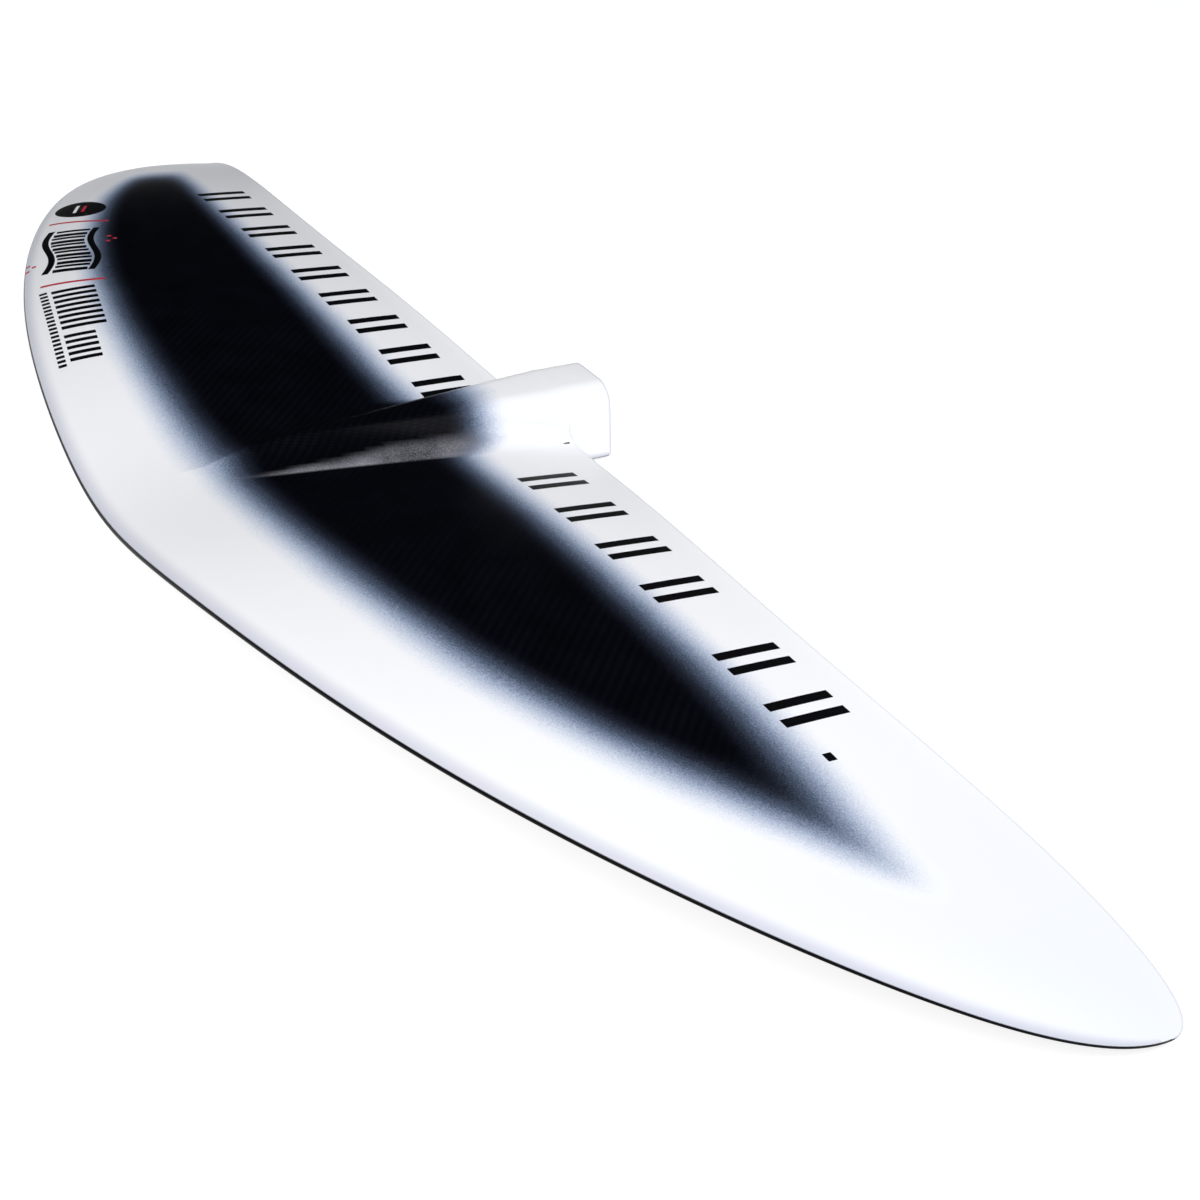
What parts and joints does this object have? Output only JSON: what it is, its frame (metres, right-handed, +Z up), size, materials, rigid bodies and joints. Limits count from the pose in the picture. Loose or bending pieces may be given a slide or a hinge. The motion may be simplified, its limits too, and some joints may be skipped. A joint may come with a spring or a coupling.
{
  "type": "hydrofoil front wing",
  "caption": "Low-aspect hydrofoil front wing with swept, turned-down tips and a raised hub whose rear socket takes the fuselage.",
  "frame": {"origin": "on the resting plane under the keel, at the middle of the wing's span and of its length", "axes": "+X along the span to the left wing, +Y aft towards the fuselage, +Z up"},
  "size_m": [0.806, 0.2274, 0.0351],
  "materials": {
    "white_paint": "gloss white lacquer fading to bare near-black carbon",
    "black_paint": "gloss black lacquer over carbon",
    "carbon": "satin carbon laminate",
    "foam": "closed-cell structural foam",
    "filler": "dense thickened epoxy",
    "stainless": "turned stainless steel"
  },
  "bodies": {
    "root": {"upper_skin": "white_paint", "lower_skin": "black_paint", "upper_spar_cap": "carbon", "lower_spar_cap": "carbon", "spar_web": "carbon", "left_leading_edge_strip": "filler", "left_front_core": "foam", "left_rear_core": "foam", "left_trailing_edge_strip": "filler", "left_tip_block": "filler", "right_leading_edge_strip": "filler", "right_front_core": "foam", "right_rear_core": "foam", "right_trailing_edge_strip": "filler", "right_tip_block": "filler", "hub_nose_core": "foam", "hub_block": "filler", "fuselage_socket": "carbon", "front_screw_bush": "stainless", "rear_screw_bush": "stainless"}
  },
  "joints": []
}
